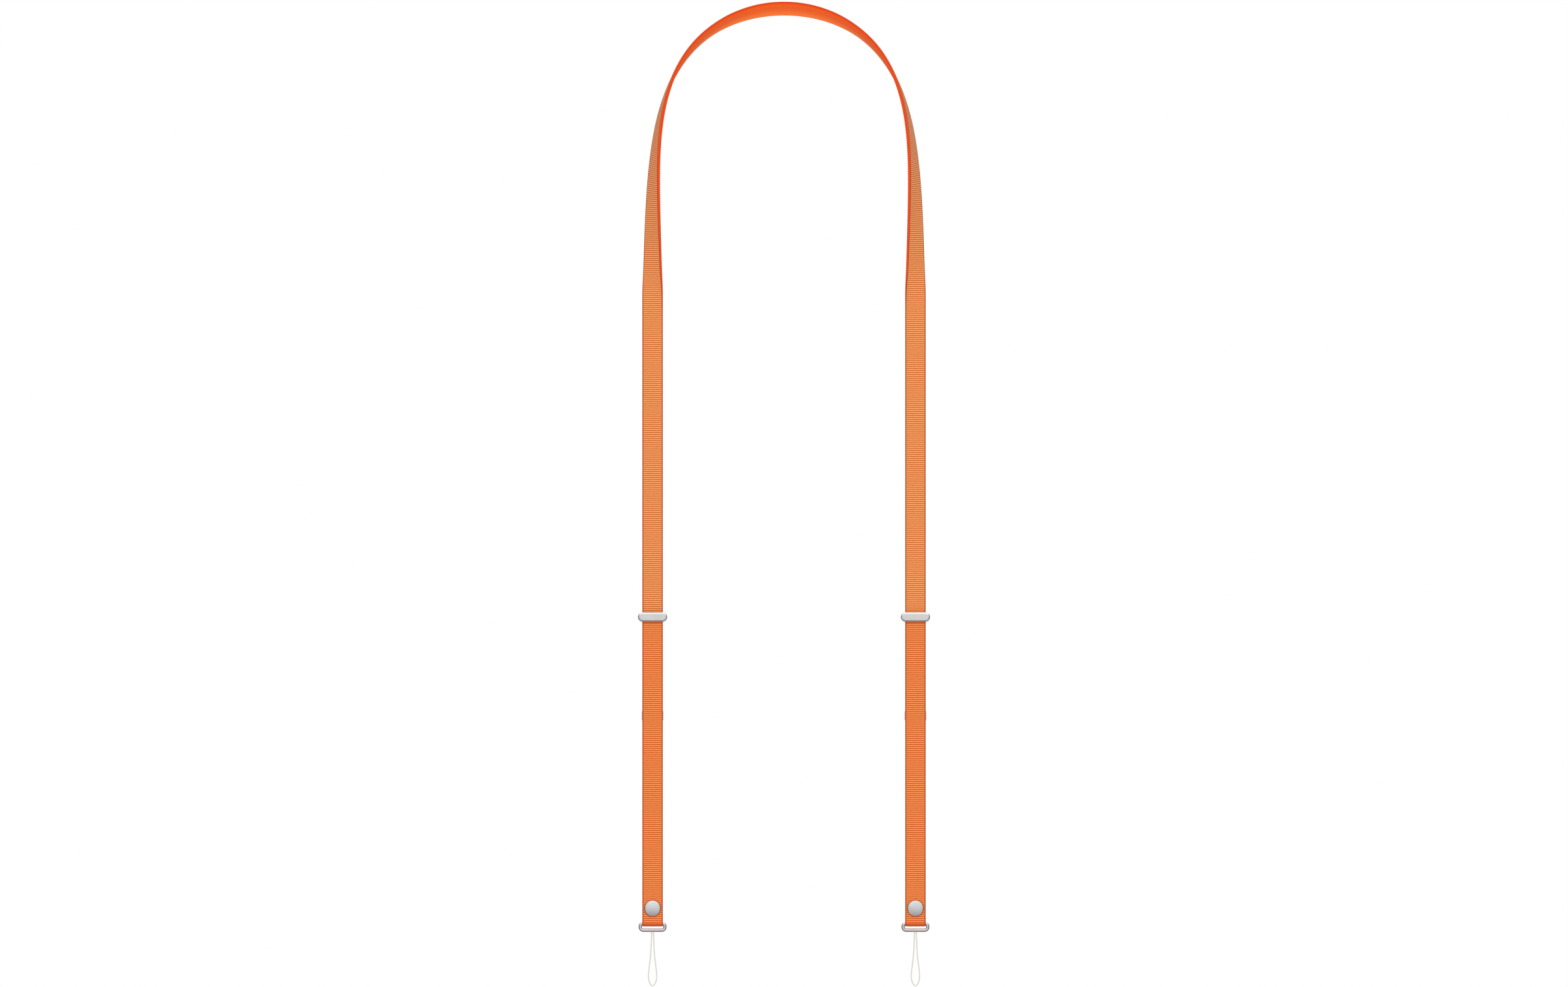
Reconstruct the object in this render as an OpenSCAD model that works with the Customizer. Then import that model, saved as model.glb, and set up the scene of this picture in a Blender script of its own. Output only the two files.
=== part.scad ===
// Slim two-ended webbing lanyard: a two-ply neck strap hangs as an arch, and on each leg
// a slider carries an adjustable tail that ends in a snap-closed fold, a ring and a cord loop.
// The viewer looks along +Y. The origin is the middle of the strap's inner face, over the neck.

/* [Webbing] */
// Width of the webbing
web_w = 12; // [10:0.5:15]
// Thickness of each of the neck strap's two plies
ply_t = 1.1; // [0.8:0.1:1.4]
// Thickness of the tail's single ply
tail_t = 1; // [0.8:0.1:1.2]

/* [Arch] */
// Distance between the middles of the two legs
leg_span = 153.4; // [120:1:200]
// Height of the curved part of the arch
arch_h = 166; // [130:1:180]
// Distance that the arch's top stands back behind the legs
set_back = 44.5; // [35:0.5:60]
// Lean of the arch's top away from the viewer, in degrees
arch_lean = 38; // [20:1:45]
// Roundness of the arch's shoulders
arch_bulge = 4.5; // [3.5:0.1:5.5]

/* [Places down the leg] */
// Drop from the neck rest to the middle of the slider
slider_drop = 354; // [300:1:430]
// Length of neck strap hidden below the middle of the slider
hidden_run = 60; // [40:1:70]
// Drop from the middle of the slider to the middle of the snap
snap_run = 170; // [150:1:210]
// Drop from the middle of the snap to the ring's upper bar
ring_run = 8.75; // [8:0.25:12]

/* [Slider] */
// Height of the slider's front plate
plate_h = 5.6; // [5:0.1:7]
// Thickness of the slider's front plate
plate_t = 1.4; // [1:0.1:2]
// Width of each side wall beside the webbing
slider_wall = 2.5; // [2.2:0.1:3.5]
// Thickness of the clamp strip behind the tail's end
clamp_t = 0.5; // [0.4:0.1:0.8]
// Thickness of the rear bar
rear_bar_t = 1; // [0.8:0.1:1.5]
// Room for the grip spring behind the neck strap
spring_room = 0.6; // [0.5:0.1:1]
// Thickness of the grip spring's leaf
spring_t = 0.2; // [0.15:0.05:0.3]
// Radius of the slider's rivets
rivet_r = 0.6; // [0.4:0.05:0.7]
// Radius of a rivet's rear head
rivet_head_r = 0.95; // [0.8:0.05:1.1]

/* [Snap] */
// Radius of the domed cap
cap_r = 4.65; // [4:0.05:5.5]
// Height of the cap above the webbing
cap_h = 1.5; // [1:0.1:2]
// Radius of the socket's disc
socket_r = 4.2; // [3.5:0.1:4.5]
// Thickness of the socket's disc
socket_t = 1; // [0.8:0.1:1.1]
// Radius of the stud's head
stud_r = 1.5; // [1.2:0.05:1.6]
// Room all round the stud's head in the socket
stud_room = 0.25; // [0.2:0.05:0.35]
// Radius of the rear post's disc
post_cap_r = 3.8; // [3:0.1:4.2]
// Radius of the post through the end flap
post_r = 0.8; // [0.6:0.1:0.9]

/* [Ring] */
// Room at each side of the webbing inside the ring
ring_side_room = 0.25; // [0.2:0.05:3]
// Outer height of the ring
ring_h = 5.9; // [5.7:0.1:9]
// Radius of the ring's round wire
wire_r = 0.95; // [0.8:0.05:1]
// Radius of the middle of the wire at the ring's corners
corner_r = 1.75; // [1.5:0.05:1.8]

/* [Cord] */
// Radius of the cord
cord_r = 0.4; // [0.3:0.05:0.4]
// Distance between the two strands where they leave the ring
strand_gap = 1.2; // [1.1:0.05:1.5]

/* [Hidden] */
$fn = 48;
overlap = 0.5;

// Running gaps between pieces that move on each other
bar_gap = 0.1;
slide_gap = 0.1;
fold_gap = 0.15;
tip_wall = 0.4;
tip_h = 5;
tip_chamfer = 0.35;

// Places across the thickness of a leg, from its middle: smaller is nearer the viewer
neck_front = -ply_t;
neck_back = ply_t;
clamp_back = neck_front - slide_gap;
clamp_front = clamp_back - clamp_t;
tail_back = clamp_front;
tail_front = tail_back - tail_t;
rear_bar_front = neck_back + spring_room;
rear_bar_back = rear_bar_front + rear_bar_t;
fold_r = wire_r + bar_gap;
bar_y = tail_back + fold_r;
flap_front = bar_y + fold_r;
flap_back = flap_front + tail_t;

// Places along Z
slider_z = -slider_drop;
snap_z = slider_z - snap_run;
bar_z = snap_z - ring_run;
neck_end_z = slider_z - hidden_run;
low_bar_z = bar_z - ring_h + 2 * wire_r;
mouth_z = low_bar_z - wire_r;
flap_over = 7.5;
pivot_y = (flap_front + flap_back) / 2;
pivot_z = bar_z + fold_gap + tail_t / 2;

// The arch: its middle line, its twist and the leg's place
leg_x = leg_span / 2;
apex = [0, ply_t * sin(arch_lean), ply_t * cos(arch_lean)];
leg_y = apex.y - set_back;
lean_power = arch_h * tan(arch_lean) / set_back;

// Turn of the webbing about its length, in degrees, against the depth below the arch's top:
// 90 faces the viewer, 0 is edge-on, and the top leans as the arch does
TURN = [[0, -arch_lean], [5, -25], [12, -18], [25, -10], [40, 0], [60, 10],
        [85, 22], [110, 35], [135, 48], [155, 60], [172, 90]];
twist_depth = 184;
turn_spread = 6;
function turn_at(depth) = (lookup(depth - turn_spread, TURN) + 2 * lookup(depth, TURN)
                           + lookup(depth + turn_spread, TURN)) / 4;

function arch_side(a) = leg_x * sign(a) * sqrt(1 - pow(cos(a), arch_bulge));
function arch_point(a) = apex + [arch_side(a), -set_back * (1 - pow(cos(a), lean_power)),
                                 -arch_h * (1 - cos(a))];

arch_step = 2.5;
leg_step = 5;
left_leg = concat([neck_end_z], [for (d = [twist_depth : -leg_step : arch_h + 1]) apex.z - d]);
MIDDLE = concat(
    [for (z = left_leg) [-leg_x, leg_y, z]],
    [for (a = [-90 : arch_step : 90]) arch_point(a)],
    [for (i = [len(left_leg) - 1 : -1 : 0]) [leg_x, leg_y, left_leg[i]]]);

function unit(v) = v / norm(v);
function along(points, i) =
    unit(points[min(i + 1, len(points) - 1)] - points[max(i - 1, 0)]);

// The webbing's two directions at each point: across its width and out of its outer face
function edge_on(t) = unit([0, -1, 0] + t.y * t);
function across(i) = let (t = along(MIDDLE, i), e = edge_on(t), f = cross(e, t),
                          a = turn_at(apex.z - MIDDLE[i].z)) cos(a) * e - sin(a) * f;
function outward(i) = cross(across(i), along(MIDDLE, i));

// A closed strip between two depths of the webbing. Both plies split each shared
// four-sided patch along the same diagonal, so their faces meet exactly.
module ply(low, high) {
    n = len(MIDDLE);
    points = [for (i = [0 : n - 1]) let (w = across(i) * web_w / 2, o = outward(i))
              each [MIDDLE[i] - w + low * o, MIDDLE[i] + w + low * o,
                    MIDDLE[i] + w + high * o, MIDDLE[i] - w + high * o]];
    sides = [for (i = [0 : n - 2]) let (p = 4 * i, q = p + 4)
             each [[p, q + 1, q], [p, p + 1, q + 1], [p + 1, q + 2, q + 1], [p + 1, p + 2, q + 2],
                   [p + 2, p + 3, q + 2], [p + 3, q + 3, q + 2], [p + 3, q, q + 3], [p + 3, p, q]]];
    last = 4 * (n - 1);
    ends = [[0, 2, 1], [0, 3, 2], [last, last + 1, last + 2], [last, last + 2, last + 3]];
    polyhedron(points, concat(sides, ends));
}

module on_leg(side) { translate([side * leg_x, leg_y, 0]) children(); }

// Stands a shape on the leg at a depth, with its own +Z towards the viewer
module facing(y, z) { translate([0, y, z]) rotate([90, 0, 0]) children(); }

// A bar with round ends, lying in XY with its height along Z, from a half profile of radius and height
module oblong(length, profile) {
    reach = length / 2;
    for (s = [-1, 1])
        translate([s * reach, 0, 0]) rotate([0, 0, -90 * s]) rotate_extrude(angle = 180) polygon(profile);
    for (s = [-1, 1])
        rotate([90, 0, 90]) translate([0, 0, -reach]) linear_extrude(length)
            scale([s, 1]) polygon(profile);
}

module pill(width, height, t) {
    linear_extrude(t) union() {
        square([width - height, height], center = true);
        for (s = [-1, 1]) translate([s * (width - height) / 2, 0]) circle(d = height);
    }
}

// Room that the ring's wire sweeps as it turns about its upper bar: the bar is straight
// in the middle and starts to bend down near the webbing's edges
ring_w = web_w + 2 * ring_side_room + 4 * wire_r;

module ring_sweep() {
    flare_x = ring_w / 2 - wire_r - corner_r + 0.15;
    flare_w = web_w / 2 + 0.1 - flare_x;
    flare_r = fold_r + 0.3;
    translate([0, bar_y, bar_z]) rotate([0, 90, 0]) {
        cylinder(r = fold_r, h = web_w + 2 * overlap, center = true);
        for (s = [0, 180]) rotate([s, 0, 0]) {
            translate([0, 0, flare_x]) cylinder(r1 = fold_r, r2 = flare_r, h = flare_w);
            translate([0, 0, flare_x + flare_w]) cylinder(r = flare_r, h = overlap);
        }
    }
}

// Slider sizes that several pieces share
half_window = web_w / 2 + 0.05;
slider_w = 2 * (half_window + slider_wall);
plate_rim = 0.2;
frame_w = slider_w - 3 * plate_rim;
frame_h = plate_h - 2 * plate_rim;
rivet_x = half_window + slider_wall / 2 - plate_rim;
rivet_blind = 0.7;
tail_cover = 0.8;
tail_top = slider_z + plate_h / 2 - tail_cover;

// Snap sizes that several pieces share
cap_post_r = 1.1;
cap_flare_r = 1.4;
socket_wall = 0.25;
socket_bore = stud_r + stud_room;
flare_t = 0.15;
rim_t = 0.45;
cap_post_h = tail_t + socket_wall;
spring_z = 0.4;
spring_wire_r = 0.17;

module neck_strap_outer() { color("darkorange") ply(0, ply_t); }
module neck_strap_inner() { color("orange") ply(-ply_t, 0); }

module strap_tip() {
    size = [web_w + 2 * tip_wall, 2 * (ply_t + tip_wall), tip_h + tip_wall];
    cut = tip_chamfer * sqrt(2);
    color("silver") difference() {
        translate([-size.x / 2, -size.y / 2, neck_end_z - tip_wall]) cube(size);
        translate([-web_w / 2, -ply_t, neck_end_z]) cube([web_w, 2 * ply_t, tip_h + overlap]);
        for (s = [-1, 1])
            translate([s * size.x / 2, 0, neck_end_z - tip_wall]) rotate([0, 45, 0])
                cube([cut, size.y + 1, cut], center = true);
    }
}

module tail_strap() {
    color("darkorange") difference() {
        union() {
            translate([-web_w / 2, tail_front, bar_z]) cube([web_w, tail_t, tail_top - bar_z]);
            intersection() {
                translate([0, bar_y, bar_z]) rotate([0, 90, 0])
                    cylinder(r = fold_r + tail_t, h = web_w, center = true);
                translate([-web_w, tail_front - 1, bar_z - 5]) cube([2 * web_w, 10, 5]);
            }
        }
        ring_sweep();
        facing(tail_back + 1, snap_z) cylinder(r = cap_post_r, h = tail_t + 2);
    }
}

module end_flap() {
    top = snap_z + flap_over;
    corner = 2;
    color("orange") difference() {
        union() {
            translate([-web_w / 2, flap_front, pivot_z]) cube([web_w, tail_t, top - corner - pivot_z]);
            translate([-web_w / 2 + corner, flap_front, top - corner - 1])
                cube([web_w - 2 * corner, tail_t, corner + 1]);
            for (s = [-1, 1]) translate([s * (web_w / 2 - corner), flap_front, top - corner])
                rotate([-90, 0, 0]) cylinder(r = corner, h = tail_t);
            translate([0, pivot_y, pivot_z]) rotate([0, 90, 0])
                cylinder(d = tail_t, h = web_w, center = true);
        }
        ring_sweep();
        facing(flap_back + 1, snap_z) cylinder(r = post_r, h = tail_t + 2);
    }
}

// Front plate: a flat face with a bevel all round, and blocks behind that close in the tail's end
module slider_plate() {
    r = plate_h / 2;
    bevel = 0.75;
    knee = 0.25;
    big = 10;
    color("gainsboro") difference() {
        union() {
            facing(tail_front, slider_z) oblong(slider_w - plate_h,
                [[0, 0], [r, 0], [r, plate_t - bevel], [r - knee, plate_t - knee],
                 [r - bevel, plate_t], [0, plate_t]]);
            intersection() {
                facing(tail_back, slider_z) pill(frame_w, frame_h, tail_t + 0.01);
                union() {
                    for (s = [-1, 1]) translate([s * (half_window + big / 2), tail_back, slider_z])
                        cube(big, center = true);
                    translate([-big, tail_front - 1, tail_top]) cube([2 * big, big, big]);
                }
            }
        }
        for (s = [-1, 1]) translate([s * rivet_x, 0, 0])
            facing(clamp_front + 1, slider_z) cylinder(r = rivet_r, h = 1 + tail_t + rivet_blind);
    }
}

module slider_clamp() {
    color("silver") difference() {
        facing(clamp_back, slider_z) pill(frame_w, frame_h, clamp_t);
        for (s = [-1, 1]) translate([s * rivet_x, 0, 0])
            facing(clamp_back + 1, slider_z) cylinder(r = rivet_r, h = clamp_t + 2);
    }
}

module slider_frame() {
    depth = rear_bar_back - clamp_back;
    color("silver") difference() {
        facing(rear_bar_back, slider_z) pill(frame_w, frame_h, depth);
        translate([-half_window, clamp_back - 1, slider_z - 10])
            cube([2 * half_window, rear_bar_front - clamp_back + 1, 20]);
        for (s = [-1, 1]) translate([s * rivet_x, 0, 0])
            facing(rear_bar_back + 1, slider_z) cylinder(r = rivet_r, h = depth + 2);
    }
}

// Bowed leaf: its middle presses on the neck strap and its ends rest on the rear bar
module slider_spring() {
    reach = 5;
    touch = 0.03;
    bow = spring_room - spring_t - 2 * touch;
    r = reach * reach / (2 * bow);
    near = neck_back + touch;
    color("silver") translate([0, near + r, slider_z]) linear_extrude(plate_h - 2, center = true)
        intersection() {
            difference() {
                circle(r = r, $fn = 180);
                circle(r = r - spring_t, $fn = 180);
            }
            translate([-reach, -r - 1]) square([2 * reach, 3]);
        }
}

module slider_rivets() {
    shank = rear_bar_back - tail_front + rivet_blind;
    head_h = 0.35;
    head_edge_r = rivet_head_r - 0.25;
    color("silver") for (s = [-1, 1]) translate([s * rivet_x, 0, 0]) {
        facing(rear_bar_back, slider_z) cylinder(r = rivet_r, h = shank);
        facing(rear_bar_back + head_h, slider_z) cylinder(r1 = head_edge_r, r2 = rivet_head_r, h = head_h);
    }
}

module snap_cap() {
    dome_h = cap_h - rim_t;
    dome_r = (cap_r * cap_r + dome_h * dome_h) / (2 * dome_h);
    color("gainsboro") {
        facing(tail_front, snap_z) union() {
            intersection() {
                cylinder(r = cap_r, h = cap_h + 1);
                translate([0, 0, cap_h - dome_r]) sphere(r = dome_r, $fn = 96);
            }
            translate([0, 0, -cap_post_h]) cylinder(r = cap_post_r, h = cap_post_h + rim_t / 2);
            translate([0, 0, -cap_post_h - flare_t]) cylinder(r = cap_flare_r, h = flare_t);
        }
    }
}

module snap_socket() {
    edge = 0.3;
    groove_h = 2 * spring_wire_r + 0.06;
    groove_deep = 0.5;
    color("silver") facing(tail_back + socket_t, snap_z) difference() {
        rotate_extrude() polygon([[0, edge], [socket_r - edge, 0], [socket_r, edge],
                                  [socket_r, socket_t], [0, socket_t]]);
        translate([0, 0, -1]) cylinder(r = socket_bore, h = socket_t - socket_wall + 1);
        translate([0, 0, -1]) cylinder(r = cap_post_r, h = socket_t + 2);
        translate([0, 0, spring_z - groove_h / 2]) cylinder(r = socket_bore + groove_deep, h = groove_h);
    }
}

// Open wire ring that springs out as the stud's head passes
module snap_spring() {
    coil_r = socket_bore + 0.25;
    open_angle = 40;
    color("silver") facing(tail_back + socket_t, snap_z) translate([0, 0, spring_z])
        rotate([0, 0, 90 + open_angle / 2]) rotate_extrude(angle = 360 - open_angle)
            translate([coil_r, 0]) circle(r = spring_wire_r, $fn = 24);
}

// The stud's height leaves room in front of the cap's flared post
stud_h = flap_front - tail_back - socket_wall - flare_t - 0.1;
stud_top = 0.3;

module snap_stud() {
    flange_r = 3.4;
    flange_t = 0.3;
    neck_r = stud_r - 0.25;
    head_h = 0.45;
    color("silver") facing(flap_front, snap_z) difference() {
        union() {
            cylinder(r = flange_r, h = flange_t);
            cylinder(r = neck_r, h = stud_h);
            translate([0, 0, stud_h - head_h]) rotate_extrude()
                polygon([[0, 0], [neck_r, 0], [stud_r, head_h / 3], [stud_r, head_h / 2],
                         [stud_r - 0.2, head_h], [0, head_h]]);
        }
        translate([0, 0, -1]) cylinder(r = post_r, h = stud_h - stud_top + 1);
    }
}

module snap_post() {
    disc_t = 0.7;
    disc_edge = 0.4;
    color("silver") facing(flap_back, snap_z) union() {
        translate([0, 0, -disc_t]) cylinder(r1 = post_cap_r - disc_edge, r2 = post_cap_r, h = disc_t);
        cylinder(r = post_r, h = tail_t + stud_h - stud_top);
    }
}

// Oblong ring of round wire, with two blind holes under its lower bar for the cord
ring_x = ring_w / 2 - wire_r - corner_r;
ring_z = ring_h / 2 - wire_r - corner_r;
ferrule_wall = 0.15;
hole_r = cord_r + ferrule_wall;
hole_deep = 1.25;
cord_deep = hole_deep - 0.1;

module ring() {
    color("gainsboro") translate([0, bar_y, (bar_z + low_bar_z) / 2]) difference() {
        union() {
            for (sx = [-1, 1], sz = [-1, 1]) scale([sx, 1, sz]) translate([ring_x, 0, ring_z])
                rotate([90, 0, 0]) rotate_extrude(angle = 90) translate([corner_r, 0]) circle(r = wire_r);
            for (sz = [-1, 1]) translate([0, 0, sz * (ring_z + corner_r)]) rotate([0, 90, 0])
                cylinder(r = wire_r, h = 2 * ring_x, center = true);
            for (sx = [-1, 1]) translate([sx * (ring_x + corner_r), 0, 0])
                cylinder(r = wire_r, h = 2 * ring_z, center = true);
        }
        for (s = [-1, 1]) translate([s * strand_gap / 2, 0, -ring_h / 2 - 1])
            cylinder(r = hole_r, h = hole_deep + 1);
    }
}

module cord_ferrules() {
    color("silver") for (s = [-1, 1]) translate([s * strand_gap / 2, bar_y, mouth_z]) difference() {
        cylinder(r = hole_r, h = hole_deep);
        translate([0, 0, -1]) cylinder(r = cord_r, h = cord_deep + 1);
    }
}

module cord_ends() {
    color("ivory") for (s = [-1, 1]) translate([s * strand_gap / 2, bar_y, mouth_z])
        cylinder(r = cord_r, h = cord_deep);
}

// One half of the cord's loop, as distances beside the middle and below the ring
CORD_HALF = [[0.6, -0.5], [0.6, -2.5], [0.7, -5], [0.8, -7.5], [0.9, -10], [1.1, -12.5], [1.3, -15],
             [1.6, -17.5], [1.9, -20], [2.2, -22.3], [2.4, -24.6], [2.4, -26.6], [2.1, -28.5],
             [1.5, -30], [0.8, -31]];
CORD = concat([for (p = CORD_HALF) [-p.x, 0, p.y]], [[0, 0, -31.4]],
              [for (i = [len(CORD_HALF) - 1 : -1 : 0]) [CORD_HALF[i].x, 0, CORD_HALF[i].y]]);

// Round tube swept along points that lie in the XZ plane
module tube(points, r, sides) {
    n = len(points);
    turn = 360 / sides;
    rings = [for (i = [0 : n - 1]) let (t = along(points, i), o = [t.z, 0, -t.x])
             for (k = [0 : sides - 1]) points[i] + r * (cos(turn * k) * o + sin(turn * k) * [0, 1, 0])];
    walls = [for (i = [0 : n - 2], k = [0 : sides - 1])
             let (a = i * sides + k, b = i * sides + (k + 1) % sides)
             each [[a, b + sides, b], [a, a + sides, b + sides]]];
    ends = [[for (k = [0 : sides - 1]) k], [for (k = [sides - 1 : -1 : 0]) (n - 1) * sides + k]];
    polyhedron(rings, concat(walls, ends));
}

module cord_loop() {
    color("ivory") translate([0, bar_y, mouth_z]) tube(CORD, cord_r, 8);
}

neck_strap_outer();
neck_strap_inner();
on_leg(-1) strap_tip();  // left_strap_tip
on_leg(-1) tail_strap();  // left_tail_strap
on_leg(-1) end_flap();  // left_end_flap
on_leg(-1) slider_plate();  // left_slider_plate
on_leg(-1) slider_clamp();  // left_slider_clamp
on_leg(-1) slider_frame();  // left_slider_frame
on_leg(-1) slider_spring();  // left_slider_spring
on_leg(-1) slider_rivets();  // left_slider_rivets
on_leg(-1) snap_cap();  // left_snap_cap
on_leg(-1) snap_socket();  // left_snap_socket
on_leg(-1) snap_spring();  // left_snap_spring
on_leg(-1) snap_stud();  // left_snap_stud
on_leg(-1) snap_post();  // left_snap_post
on_leg(-1) ring();  // left_ring
on_leg(-1) cord_ferrules();  // left_cord_ferrules
on_leg(-1) cord_ends();  // left_cord_ends
on_leg(-1) cord_loop();  // left_cord_loop
on_leg(1) strap_tip();  // right_strap_tip
on_leg(1) tail_strap();  // right_tail_strap
on_leg(1) end_flap();  // right_end_flap
on_leg(1) slider_plate();  // right_slider_plate
on_leg(1) slider_clamp();  // right_slider_clamp
on_leg(1) slider_frame();  // right_slider_frame
on_leg(1) slider_spring();  // right_slider_spring
on_leg(1) slider_rivets();  // right_slider_rivets
on_leg(1) snap_cap();  // right_snap_cap
on_leg(1) snap_socket();  // right_snap_socket
on_leg(1) snap_spring();  // right_snap_spring
on_leg(1) snap_stud();  // right_snap_stud
on_leg(1) snap_post();  // right_snap_post
on_leg(1) ring();  // right_ring
on_leg(1) cord_ferrules();  // right_cord_ferrules
on_leg(1) cord_ends();  // right_cord_ends
on_leg(1) cord_loop();  // right_cord_loop
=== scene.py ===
"""Looks of a slim two-ended webbing lanyard: ribbed strap, slide adjusters, snaps, rings and cord loops."""
import math
from collections import namedtuple

import bpy
import numpy as np
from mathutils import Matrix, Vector


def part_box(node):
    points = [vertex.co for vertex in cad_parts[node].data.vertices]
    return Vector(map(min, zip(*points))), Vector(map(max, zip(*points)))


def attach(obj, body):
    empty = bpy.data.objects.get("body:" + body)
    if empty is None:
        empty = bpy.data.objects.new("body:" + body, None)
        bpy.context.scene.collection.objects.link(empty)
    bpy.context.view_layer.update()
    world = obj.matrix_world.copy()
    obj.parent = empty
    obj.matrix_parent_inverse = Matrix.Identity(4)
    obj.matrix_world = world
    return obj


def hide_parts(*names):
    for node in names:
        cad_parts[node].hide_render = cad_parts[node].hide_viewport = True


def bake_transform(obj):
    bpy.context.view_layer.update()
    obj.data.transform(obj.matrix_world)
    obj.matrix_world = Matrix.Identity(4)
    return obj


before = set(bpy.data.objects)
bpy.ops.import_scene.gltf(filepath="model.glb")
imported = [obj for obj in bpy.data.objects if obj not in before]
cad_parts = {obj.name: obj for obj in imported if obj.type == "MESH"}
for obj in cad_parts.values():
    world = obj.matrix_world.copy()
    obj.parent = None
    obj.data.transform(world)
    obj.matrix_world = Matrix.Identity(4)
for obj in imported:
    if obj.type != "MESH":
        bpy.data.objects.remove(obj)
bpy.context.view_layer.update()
MM = 0.001
SIDES = {"left": -1, "right": 1}

# ---------------------------------------------------------------- places, from the frame, in millimetres


def box_mm(node):
    low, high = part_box(node)
    return np.array(low) / MM, np.array(high) / MM


tail_low, tail_high = box_mm("right_tail_strap")
plate_low, plate_high = box_mm("right_slider_plate")
cap_low, cap_high = box_mm("right_snap_cap")
flap_low, flap_high = box_mm("right_end_flap")
ring_low, ring_high = box_mm("right_ring")

WEB_W = tail_high[0] - tail_low[0]
HALF_W = WEB_W / 2
LEG_X = (tail_high[0] + tail_low[0]) / 2
NECK_END = box_mm("neck_strap_outer")[0][2]
FACE_Y = tail_low[1]
TAIL_TOP = tail_high[2]
TAIL_T = flap_high[1] - flap_low[1]
FLAP_Y = (flap_low[1] + flap_high[1]) / 2
FLAP_TOP = flap_high[2]
PLATE_R = (plate_high[2] - plate_low[2]) / 2
PLATE_REACH = (plate_high[0] - plate_low[0]) / 2 - PLATE_R
PLATE_H = FACE_Y - plate_low[1]
SLIDER_Z = (plate_low[2] + plate_high[2]) / 2
CAP_R = (cap_high[2] - cap_low[2]) / 2
CAP_H = FACE_Y - cap_low[1]
SNAP_Z = (cap_low[2] + cap_high[2]) / 2
WIRE_R = (ring_high[1] - ring_low[1]) / 2
BAR_Y = (ring_low[1] + ring_high[1]) / 2
BAR_Z = ring_high[2] - WIRE_R
MOUTH_Z = ring_low[2]

# ---------------------------------------------------------------- the strap's line, as the CAD model draws it

PLY_T = 1.1
ARCH_H = 166.0
SET_BACK = 44.5
ARCH_LEAN = 38.0
ARCH_BULGE = 4.5
ARCH_SAMPLES = 1441
LEAN = math.radians(ARCH_LEAN)
APEX = np.array([0, PLY_T * math.sin(LEAN), PLY_T * math.cos(LEAN)])
LEG_Y = APEX[1] - SET_BACK
LEAN_POWER = ARCH_H * math.tan(LEAN) / SET_BACK
# Depth below the arch's top, and the webbing's turn about its length there in degrees.
TURN = np.array([[0, -ARCH_LEAN], [5, -25], [12, -18], [25, -10], [40, 0], [60, 10],
                 [85, 22], [110, 35], [135, 48], [155, 60], [172, 90]], float)
TURN_SPREAD = 6.0
TURN_SMOOTHING = 4.0


def unit(v):
    return v / np.linalg.norm(v, axis=-1, keepdims=True)


def turn_at(depth):
    """Turn of the webbing about its length, in radians, at a depth below the arch's top."""
    above, here, below = (np.interp(depth + shift, TURN[:, 0], TURN[:, 1])
                          for shift in (-TURN_SPREAD, 0.0, TURN_SPREAD))
    return np.radians((above + 2 * here + below) / 4)


def smoothed(values, width):
    """A running average that keeps the ends."""
    padded = np.pad(values, width, mode="edge")
    return np.convolve(padded, np.ones(2 * width + 1) / (2 * width + 1), mode="valid")


def distance_along(points):
    return np.concatenate([[0], np.cumsum(np.linalg.norm(np.diff(points, axis=0), axis=1))])


def spaced(points, step):
    """The same line with points an equal step apart, and how far along it each lies."""
    gone = distance_along(points)
    count = int(round(gone[-1] / step)) + 1
    at = np.linspace(0, gone[-1], count)
    return np.stack([np.interp(at, gone, points[:, k]) for k in range(3)], axis=1), at


def strap_line(step):
    """The neck strap from its left end to its right: line, distance, and directions across and out."""
    angle = np.radians(np.linspace(-90, 90, ARCH_SAMPLES))
    h = np.clip(np.cos(angle), 0, 1)
    arch = APEX + np.stack([LEG_X * np.sign(angle) * np.sqrt(1 - h ** ARCH_BULGE),
                            -SET_BACK * (1 - h ** LEAN_POWER), -ARCH_H * (1 - h)], axis=1)
    left_end = np.array([[-LEG_X, LEG_Y, NECK_END]])
    right_end = np.array([[LEG_X, LEG_Y, NECK_END]])
    line, along = spaced(np.concatenate([left_end, arch, right_end]), step)
    tangent = unit(np.gradient(line, axis=0))
    turn = smoothed(turn_at(APEX[2] - line[:, 2]), int(TURN_SMOOTHING / step))[:, None]
    edge_on = unit(np.array([0, -1.0, 0]) + tangent[:, 1:2] * tangent)
    side = np.cross(edge_on, tangent)
    across = np.cos(turn) * edge_on - np.sin(turn) * side
    return line, along, across, np.cross(across, tangent)


# ---------------------------------------------------------------- mesh helpers

DEPTHWISE = np.array([0, 1.0, 0])


def mesh_of(name, verts, faces, material, body, weave=None, second=None):
    """One piece from points in millimetres. second is (material, mask) for the faces that take it."""
    mesh = bpy.data.meshes.new(name)
    mesh.from_pydata((np.asarray(verts) * MM).tolist(), [], faces)
    mesh.polygons.foreach_set("use_smooth", [True] * len(mesh.polygons))
    if weave is not None:
        attribute = mesh.attributes.new("weave", "FLOAT_VECTOR", "POINT")
        attribute.data.foreach_set("vector", np.asarray(weave, np.float32).ravel())
    mesh.materials.append(material)
    if second is not None:
        mesh.materials.append(second[0])
        mesh.polygons.foreach_set("material_index", np.asarray(second[1], np.int32))
    mesh.update()
    piece = bpy.data.objects.new(name, mesh)
    bpy.context.scene.collection.objects.link(piece)
    if body:
        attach(piece, body)
    return piece


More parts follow.
